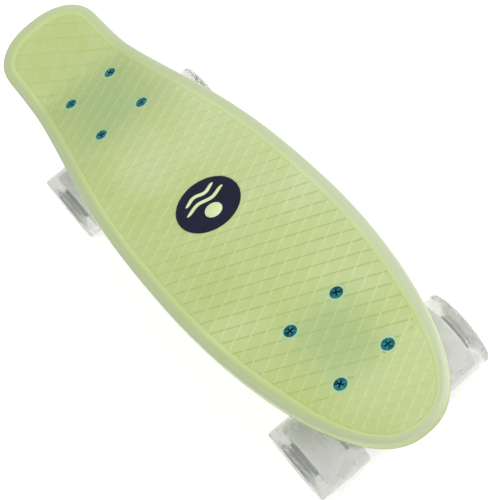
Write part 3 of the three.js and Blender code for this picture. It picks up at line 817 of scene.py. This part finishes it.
def make_lights():
    world = bpy.data.worlds.new("studio")
    bpy.context.scene.world = world
    world.use_nodes = True
    tree = world.node_tree
    tree.nodes["Background"].inputs["Color"].default_value = (1, 1, 1, 1)
    # the backdrop looks white, but lights matt surfaces less
    path = tree.nodes.new("ShaderNodeLightPath")
    strength = tree.nodes.new("ShaderNodeMapRange")
    strength.inputs["To Min"].default_value = 1.0
    strength.inputs["To Max"].default_value = 0.62
    tree.links.new(path.outputs["Is Diffuse Ray"], strength.inputs["Value"])
    tree.links.new(strength.outputs["Result"], tree.nodes["Background"].inputs["Strength"])
    area_light("key", (0.25, 1.3, 1.3), (0, 0, 0.1), 0.9, 17)
    area_light("fill", (0.8, -1.4, 1.4), (0, 0, 0.1), 1.6, 9)
    bpy.context.scene.view_settings.view_transform = "Standard"


# ---- deck and badge ----
def grip():
    """The three zones of diamond grip, clear of the bolts and the badge."""
    made = []
    for zone in GRIP_ZONES:
        x0, x1 = zone["x"]
        block = diamond_grip(zone["cell"], x0, x1, HALF_WIDTH, zone["first_share"])
        low = max(x0, TAIL_X + GRIP_END)
        high = min(x1 + ZONE_OVERLAP, NOSE_X - GRIP_END * NOSE_BORDER["share"])
        combine(block, [field_prism(low, high)], "INTERSECT")
        badge_spot = shift(*on_deck([(BADGE["x"], 0, 0)])[0])
        discs = [moved(rod(BADGE["r"] + 0.7, -4, 4, 72), badge_spot)]
        for _, side in ENDS:
            for _, _, x, y in BOLT_SPOTS:
                disc = turned([(0, -4), (BOLT_DISC_R, -4), (BOLT_DISC_R, FIELD), (BOLT_DISC_R + 4, 2),
                               (0, 2)], 40)
                discs.append(moved(disc, pad_matrix(side, 0) @ shift(x, y, 0)))
        made.append(cut(block, *discs))
    return made


def distance_to_outline(spots):
    """How far each flat spot (x, y) is from the deck's outline."""
    nearest = np.full(len(spots), 1e9)
    for a, b in zip(OUTLINE, np.roll(OUTLINE, -1, 0)):
        t = np.clip(((spots - a) @ (b - a)) / ((b - a) @ (b - a)), 0, 1)
        nearest = np.minimum(nearest, np.hypot(*(spots - a - t[:, None] * (b - a)).T))
    return nearest


def painted_ridge_light_and_shade(flat, inset):
    """Painted highlight (+) or painted shade (-) on the grip's lines at each point: 0 off the ridges."""
    x, y, h = flat.T
    value = np.zeros(len(flat))
    for zone in GRIP_ZONES:
        inside = (x >= zone["x"][0]) & (x < zone["x"][1])
        along, side = x / zone["cell"][0], y / zone["cell"][1]
        off = [abs((along + sign * side + 0.5) % 1 - 0.5) for sign in (1, -1)]
        value = np.where(inside, np.where(off[0] < off[1], *zone["ridge_light_and_shade"]), value)
    raised = np.clip((h - FIELD - RIDGE["lift"]) / RIDGE["height"], 0, 1)
    return value * np.where(inset > BORDER + 1, raised, 0)


def rib(y, x0, x1):
    """Rib under the deck with a rounded foot."""
    top, half, foot = FIELD - SHELL + 1, RIB["half"], RIB["foot"]
    section = filleted([(-half, top, 0), (-half, foot, 0.9), (half, foot, 0.9), (half, top, 0)], 3)
    xs = np.linspace(x0, x1, int((x1 - x0) / 5) + 1)
    return swept([[(x, y + across, h) for across, h in section] for x in xs])


def make_deck():
    """The moulding with its grip, and the attributes that its material reads."""
    deck = union(deck_shell(), *(rib(*row) for row in RIB_ROWS))
    holes = []
    for _, side in ENDS:
        pad = slab(PAD_SIZE, 8, -PAD_DEPTH, FIELD - 2, (0.8, 0.1))
        deck = union(deck, moved(pad, pad_matrix(side, 0)))
        for _, _, x, y in BOLT_SPOTS:
            clear, low = BOLT["head"] + HEAD_CLEARANCE, -PAD_DEPTH - 3
            hole = turned([(0, low), (HOLE_R, low), (HOLE_R, HEAD_TOP - BOLT["head_depth"]),
                           (clear, HEAD_TOP - 0.1), (clear + 0.3, FIELD + 0.02), (clear + 0.3, 4),
                           (0, 4)], 40)
            holes.append(moved(hole, pad_matrix(side, 0) @ shift(x, y, 0)))
    deck = cut(union(deck, *grip()), *holes)
    co = np.empty(len(deck.data.vertices) * 3, np.float32)
    deck.data.vertices.foreach_get("co", co)
    flat = off_deck(co.reshape(-1, 3))
    inset = distance_to_outline(flat[:, :2]) / border_share(flat[:, 0])
    values = {"inset": inset, "height": flat[:, 2], "ridge": painted_ridge_light_and_shade(flat, inset)}
    for name, numbers in values.items():
        attribute = deck.data.attributes.new(name, "FLOAT", "POINT")
        attribute.data.foreach_set("value", numbers.astype(np.float32))
    piece(deck, "gripped_deck", "board", "deck", [DECK], "deck")


def on_badge(made):
    """Lays flat badge pieces, in their own frame, on the bent deck."""
    for vertex in made.data.vertices:
        x, y, h = vertex.co
        vertex.co = on_deck([(x + BADGE["x"], y, h)])[0]
    return made


def wave_ribbon(x, half_length):
    """Flat wavy band across the board at x, with round ends."""
    ys = np.linspace(-half_length, half_length, 41)
    line = np.stack([x + WAVE["swing"] * np.sin(ys / half_length * 1.5 * math.pi), ys], 1)
    along = np.gradient(line, axis=0)
    along /= np.hypot(*along.T)[:, None]
    normal = np.stack([-along[:, 1], along[:, 0]], 1)
    taper = WAVE["half"] * np.sqrt(np.clip(1 - (np.abs(ys) / half_length) ** 6, 0.02, 1))[:, None]
    left, right = line + normal * taper, line - normal * taper
    return [tuple(p) for p in np.concatenate([right, left[::-1]])]


def make_badge():
    """Round badge with a plain sun beside two waves."""
    r, top = BADGE["r"], BADGE_TOP
    disc = turned([(0, FIELD - 0.1), (r, FIELD - 0.1), (r, top - 0.12), (r - 0.12, top), (r * 0.75, top),
                   (r * 0.5, top), (r * 0.25, top), (0, top)], 96)
    piece(on_badge(disc), "badge_disc", "board", "badge", [NAVY], "badge")
    low, high, sun_r = top - INLAY_SINK, top + INLAY_RISE, SUN["r"]
    sun = turned([(0, low), (sun_r, low), (sun_r, high - 0.06), (sun_r - 0.1, high), (0, high)], 48)
    moved(sun, shift(SUN["x"], 0, 0))
    piece(on_badge(sun), "badge_sun", "board", "badge", [INLAY])
    for name, x, half_length in WAVES:
        outline = wave_ribbon(x, half_length)
        wave = lofted([[(a, b, z) for a, b in outline] for z in (low, high)])
        piece(on_badge(wave), "badge_wave_" + name, "board", "badge", [INLAY])


# ---- fasteners ----
def cross_bolt():
    """Countersunk bolt with a cross recess and a threaded shank, its head's top at HEAD_TOP."""
    shank, head, low = BOLT["shank"], BOLT["head"], HEAD_TOP - BOLT["length"]
    neck = HEAD_TOP - BOLT["head_depth"]
    profile = [(0, low), (shank - 0.9, low), *screw_rows(shank, low + 0.4, neck - 12, BOLT["pitch"])]
    profile += [(shank, neck - 11.6), (shank, neck), (head - 0.1, HEAD_TOP - 0.5), (head, HEAD_TOP - 0.3),
                (head - 0.25, HEAD_TOP - 0.02), (head - 0.8, HEAD_TOP), (0, HEAD_TOP)]
    bolt = turned(profile, 32)
    for turn in (0, math.pi / 2):
        arm = lofted([[(-w, -t, z), (w, -t, z), (w, t, z), (-w, t, z)]
                      for z, w, t in ((HEAD_TOP - 2.2, 1.2, 0.4), (HEAD_TOP + 1, 3.3, 0.72))])
        bolt = cut(bolt, moved(arm, rotation(turn + math.pi / 4, "Z")))
    return bolt


def lock_nut(size, place, name, body, node):
    """Lock nut on z = 0 of its place, with its nylon insert showing in the top."""
    nut = moved(hex_nut(size["flats"], size["height"], size["bore"]), place)
    piece(nut, name, body, "zinc", [ZINC, NYLON], node)
    second_material(nut, place, lambda r, z: r < 0.36 * size["flats"] and z > size["height"] - 1.2)


def make_deck_fasteners(end, side):
    bolt = cross_bolt()
    nut_z = -MOUNT_DEPTH - PLATE["thick"] - GAP
    for row, sy, x, y in BOLT_SPOTS:
        label = f"{end}_{row}_{side_name(side, sy)}"
        spot = pad_matrix(side, 0) @ shift(x, y, 0)
        spin = rotation(math.radians(17 * (x + 2 * y)), "Z")
        piece(copy_of(bolt, spot @ spin), f"cross_bolt_{label}", "board", "deck_bolt", [TEAL_ZINC],
              f"deck_bolt_{label}")
        down = spot @ shift(0, 0, nut_z) @ rotation(math.pi, "X")
        lock_nut(DECK_NUT, down, f"lock_nut_{label}", "board", f"deck_nut_{label}")
    remove(bolt)


def bolt_hole_rods(low):
    return [moved(rod(HOLE_R, low, 5, 32), shift(x, y, 0)) for _, _, x, y in BOLT_SPOTS]


def make_riser(end, side):
    top = -PAD_DEPTH - GAP
    riser = slab(RISER["size"], 8, top - RISER["thick"], top, (0.5, 0.5))
    cutters = bolt_hole_rods(-40)
    cutters.append(slab((34, 22), 5, top - RISER["thick"] - 1, top - RISER["thick"] + 1, (0.1, 0.1)))
    riser = moved(cut(riser, *cutters), pad_matrix(side, 0))
    piece(riser, f"riser_{end}", "board", "riser", [RUBBER], f"riser_pad_{end}")


# ---- truck ----
def baseplate():
    """Cast plate with the kingpin boss and the pivot boss, webs between them and machined bores."""
    plate = slab(PLATE["size"], 7, -PLATE["thick"], 0, (1.2, 0.4))
    kingpin_boss = turned([(0, BOSS_FROM), (12.8, BOSS_FROM), (14.2, 32), (0, 32)], 64)
    pivot_boss = turned([(0, 34.5), (10.6, 34.5), (12, 52), (0, 52)], 64)
    web = box(-4, 24, -4.5, 4.5, -9.5, -1)
    tail = box(-28, -6, -3, 3, -12, -1)
    plate = union(plate, moved(kingpin_boss, ALONG_KINGPIN), moved(pivot_boss, ALONG_PIVOT), web, tail)
    flank = [across([(-30, -8), (26, -8), (26, -1), (-30, -1)], y - 1.4, y + 1.4) for y in (-13, 13)]
    plate = union(plate, *flank)
    trim = [box(-60, 60, -40, 40, 0, 40), box(PLATE["size"][0] / 2, 60, -40, 40, -40, 1)]
    plate = cast(cut(plate, *trim), 0.7, 5)
    bores = [moved(rod(KINGPIN["r"] + GAP, 0, 60), ALONG_KINGPIN),
             moved(rod(KINGPIN["head_r"] + GAP, KINGPIN["head"][0] - GAP, 60), ALONG_KINGPIN),
             moved(rod(7.9, 30, 46.4), ALONG_PIVOT)]
    return cut(plate, *bores, *bolt_hole_rods(-20))


def hanger():
    """Cast hanger: kingpin ring, body that runs out into the axle housing, and the pivot tip."""
    wide = filleted([(7, -35.6, 2), (6.4, -43, 3), (5.2, -50, 3), (6.5, -62.6, 2.5), (16.5, -63.2, 2.5),
                     (20.4, -54, 3), (15, -37, 2)], 3)
    narrow = filleted([(6, -50, 2), (4.4, -54, 2), (4.6, -58.2, 2), (8, -62.6, 2), (15, -63, 2),
                       (19.4, -56, 2), (16, -50, 2)], 3)
    stations = [(-31, 1.0), (-27, 0.8), (-20, 0.32), (-12, 0), (12, 0), (20, 0.32), (27, 0.8), (31, 1.0)]
    rings = []
    for y, share in stations:
        section = np.array(wide) + (np.array(narrow) - np.array(wide)) * share
        rings.append([(x, y, z) for x, z in reversed(section)])
    body = lofted(rings)
    ring = moved(turned(filleted([(0, -4, 0), (RING["r"], -4, 1), (RING["r"], 4, 1), (0, 4, 0)]), 64),
                 ALONG_KINGPIN)
    housing = moved(turned(filleted([(0, -HANGER_HALF, 0), (HOUSING_R, -HANGER_HALF, 1),
                                     (HOUSING_R, HANGER_HALF, 1), (0, HANGER_HALF, 0)]), 64), ALONG_AXLE)
    neck = across([(7.5, -52), (20, -52), (24, -22.5), (16, -17)], -6.5, 6.5)
    body = cut(union(body, ring, housing, neck), moved(rod(18, 32, 60), ALONG_PIVOT))
    tip_r, top = PIVOT_TIP["r"], PIVOT_TIP["to"]
    tip = turned([(0, PIVOT_TIP["from"]), (tip_r, PIVOT_TIP["from"]), (tip_r, 42), (4.9, 43), (3.6, 44.1),
                  (2, top), (0, top)], 48)
    body = cast(union(body, moved(tip, ALONG_PIVOT)), 0.7, 5)
    ring_hole = moved(rod(RING["hole"], -9, 9, 64), ALONG_KINGPIN)
    return cut(body, ring_hole, moved(rod(AXLE["r"] + 0.1, -60, 60), ALONG_AXLE))


def bushing(z0, z1, r0, r1):
    inner = KINGPIN["r"] + 0.4
    waist = (z0 + z1) / 2
    return turned(filleted([(inner, z0, 0.3), (r0, z0, 0.9), (min(r0, r1) - 0.4, waist, 3), (r1, z1, 0.9),
                            (inner, z1, 0.3)]), 64)


def cup_washer(z0, opening):
    """Dished washer; its lip turns towards the bushing, up or down."""
    inner, r, t = KINGPIN["r"] + 0.3, WASHER["r"], WASHER["thick"]
    low = [(inner, 0, 0), (r - 2, 0, 1), (r, 0.6, 0.5), (r, t, 0.2), (r - 0.7, t, 0.1), (r - 2.2, 0.7, 1),
           (inner, 0.7, 0)]
    made = turned(filleted(low), 64)
    if opening < 0:
        made.data.transform(shift(0, 0, t) @ rotation(math.pi, "X"))
    return moved(made, shift(0, 0, z0))


def kingpin():
    r, low, (h0, h1) = KINGPIN["r"], -KINGPIN["below"], KINGPIN["head"]
    profile = [(0, low), (r - 1.4, low), *screw_rows(r, low + 0.6, NUT_TOP + 1, KINGPIN["pitch"])]
    profile += [(r, NUT_TOP + 1.4), (r, h0), (KINGPIN["head_r"] - 0.4, h0), (KINGPIN["head_r"], h0 + 0.4),
                (KINGPIN["head_r"], h1 - 0.6), (KINGPIN["head_r"] - 0.6, h1), (0, h1)]
    return turned(profile, 40)


def axle():
    r, half, thread = AXLE["r"], AXLE["half"], AXLE["thread"]
    low = [(0, -half), (r - 1.2, -half), *screw_rows(r, -half + 0.6, thread - half, AXLE["pitch"])]
    low.append((r, thread - half + 0.6))
    high = [(r, half - thread - 0.6), *screw_rows(r, half - thread, half - 0.6, AXLE["pitch"])]
    return turned(low + high + [(r - 1.2, half), (0, half)], 32)


def make_truck(end, side):
    """One truck: the plate side rides on the board, the hanger side on its own body."""
    place = pad_matrix(side, -MOUNT_DEPTH)
    on_kingpin = place @ ALONG_KINGPIN
    swing = f"hanger_{end}_body"

    def fixed(made, name, slot, material, node, matrix=on_kingpin, body="board"):
        piece(moved(made, matrix), f"{name}_{end}", body, slot, [material], f"{node}_{end}")

    fixed(baseplate(), "cast_baseplate", "truck_cast", CAST, "baseplate", place)
    fixed(hanger(), "cast_hanger", "truck_cast", CAST, "hanger", place, swing)
    fixed(axle(), "threaded_axle", "steel", STEEL, "axle", place @ ALONG_AXLE, swing)
    inner, outer, low, high = (PIVOT_CUP[key] for key in ("inner", "outer", "from", "to"))
    cup = turned(filleted([(inner, low, 0.3), (outer, low, 0.4), (outer, high, 0.8), (0, high, 0),
                           (0, high - 1.4, 0), (inner, high - 1.4, 0.6)]), 48)
    fixed(cup, "cup", "pivot_cup", CUP_PLASTIC, "pivot_cup", place @ ALONG_PIVOT)
    fixed(kingpin(), "threaded_kingpin", "steel", STEEL, "kingpin")
    barrel = bushing(*UPPER_BUSHING, BUSHING["r"], BUSHING["r"])
    cone = bushing(*LOWER_BUSHING, BUSHING["lower_r"], BUSHING["r"])
    fixed(barrel, "barrel_bushing", "bushing", URETHANE, "bushing_upper")
    fixed(cone, "cone_bushing", "bushing", URETHANE, "bushing_lower")
    fixed(cup_washer(UPPER_WASHER_Z, -1), "dished_washer_upper", "zinc", ZINC, "cup_washer_upper")
    fixed(cup_washer(LOWER_WASHER_Z, 1), "dished_washer_lower", "zinc", ZINC, "cup_washer_lower")
    upside_down = rotation(math.pi, "X") @ rotation(0.5, "Z")
    below = shift(0, 0, NUT_TOP) @ upside_down
    lock_nut(KINGPIN_NUT, on_kingpin @ below, f"lock_nut_kingpin_{end}", "board", f"kingpin_nut_{end}")


# ---- wheels ----
def tyre():
    """Clear tyre, moulded on to its core and bearings, so it meets them with no air between."""
    grip_r, seat_r, core_z = CORE["r"] - 0.4, BEARING["r"] - 0.1, CORE["half"] - 0.3
    side = [(TYRE["r"], TYRE["half"], 4.6), (TYRE["lip_r"], TYRE["half"], 1.6),
            (13, TYRE["dish"] + 0.8, 1.5), (seat_r, TYRE["dish"], 0.3), (seat_r, core_z, 0.1),
            (grip_r, core_z, 0.1)]
    return mirrored_turned(side, 6, 96)


def wheel_core():
    """Milky core with bearing seats, pockets between spokes, and small round lamp caps round it."""
    r, half, bore = CORE["r"], CORE["half"], CORE["bore"]
    seat_r = BEARING["r"] + 0.1
    seat_z = BEARING["face"] - BEARING["width"] - 0.1
    face = [(r, half, 1.2), (seat_r, half, 0.3), (seat_r, seat_z, 0.2), (bore, seat_z, 0.3)]
    core = mirrored_turned(face, 4, 72)
    (near, far), wedge, depth = SPOKES["pocket"], SPOKES["half_angle"], SPOKES["depth"]
    section = [(near, -near * wedge), (far, -far * wedge), (far, far * wedge), (near, near * wedge)]
    pocket = lofted([[(x, y, z) for x, y in section] for z in (half - depth, half + depth)])
    other_face = shift(0, 0, -2 * half)
    for k in range(SPOKES["count"]):
        turn = rotation(2 * math.pi * k / SPOKES["count"], "Z")
        core = cut(core, copy_of(pocket, turn), copy_of(pocket, turn @ other_face))
    remove(pocket)
    caps = []
    cap_r, top = LAMP_CAP["r"], LAMP_CAP["top"]
    for k in range(LAMP_CAP["count"]):
        cap = turned([(0, 18), (cap_r, 18), (cap_r, top - 0.65), (cap_r - 0.4, top - 0.25),
                      (cap_r - 1.1, top - 0.05), (0, top)], 24)
        around = 2 * math.pi * k / LAMP_CAP["count"] + LAMP_CAP["turn"]
        outward = rotation(around, "Z") @ rotation(math.pi / 2, "Y")
        caps.append(moved(cap, outward))
    return union(core, *caps)


def bearing():
    """Ball bearing ring with its shields set back between the races."""
    r, bore, face = BEARING["r"], BEARING["bore"], BEARING["width"] / 2
    inner, outer, shield = SHIELD_RING["inner"], SHIELD_RING["outer"], face - SHIELD_RING["depth"]
    side = [(r, face, 0.4), (outer + 0.1, face, 0.15), (outer - 0.1, shield, 0.1),
            (inner + 0.1, shield, 0.1), (inner - 0.1, face, 0.15), (bore, face, 0.3)]
    return mirrored_turned(side, 3, 60)


def on_shield(r, z):
    """Whether a spot of a bearing lies on one of its shields."""
    deep = BEARING["width"] / 2 - SHIELD_RING["depth"] - 0.2
    return SHIELD_RING["inner"] < r < SHIELD_RING["outer"] and abs(z) > deep


def ring_piece(bore, r, ends, edge):
    """Plain ring between two heights, with its outer edges rounded."""
    low, high = ends
    return turned(filleted([(bore, low, 0.1), (r, low, edge), (r, high, edge), (bore, high, 0.1)], 2), 48)


def make_wheel(end, side, sy):
    """Tyre, core and two bearings on the wheel's body; nut, washers and spacer on the hanger's."""
    label = f"{end}_{side_name(side, sy)}"
    lo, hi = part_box(f"tyre_{label}")
    centre = (lo + hi) / 2 / MM
    out = side * sy
    wheel, swing = f"wheel_{label}", f"hanger_{end}_body"
    place = shift(*centre) @ rotation(-out * math.pi / 2, "X")
    piece(moved(tyre(), place), f"clear_tyre_{label}", wheel, "tyre", [CLEAR], f"tyre_{label}")
    piece(moved(wheel_core(), place), f"core_{label}", wheel, "wheel_core", [MILKY], f"wheel_core_{label}")
    for name, sign in (("inner", -1), ("outer", 1)):
        seat = place @ shift(0, 0, sign * (BEARING["face"] - BEARING["width"] / 2))
        made = piece(moved(bearing(), seat), f"ball_bearing_{name}_{label}", wheel, "bearing",
                     [RACE_PAINTED_DARK, SHIELD], f"bearing_{name}_{label}")
        second_material(made, seat, on_shield)
        near = BEARING["face"] + SPEED_WASHER["from"]
        ends = sorted((sign * near, sign * (near + SPEED_WASHER["thick"])))
        washer = ring_piece(SPEED_WASHER["bore"], SPEED_WASHER["r"], ends, 0.2)
        piece(moved(washer, place), f"speed_washer_{name}_{label}", swing, "zinc", [ZINC])
    spacer = ring_piece(SPACER["bore"], SPACER["r"], (-SPACER["half"], SPACER["half"]), 0.3)
    piece(moved(spacer, place), f"bearing_spacer_{label}", swing, "steel", [STEEL])
    spot = place @ shift(0, 0, AXLE_NUT["from"])
    lock_nut(AXLE_NUT, spot, f"lock_nut_axle_{label}", swing, f"axle_nut_{label}")


# ---- assembly ----
make_camera()
make_floor()
make_lights()
make_deck()
make_badge()
for end, side in ENDS:
    make_riser(end, side)
    make_deck_fasteners(end, side)
    make_truck(end, side)
    for sy in (1, -1):
        make_wheel(end, side, sy)
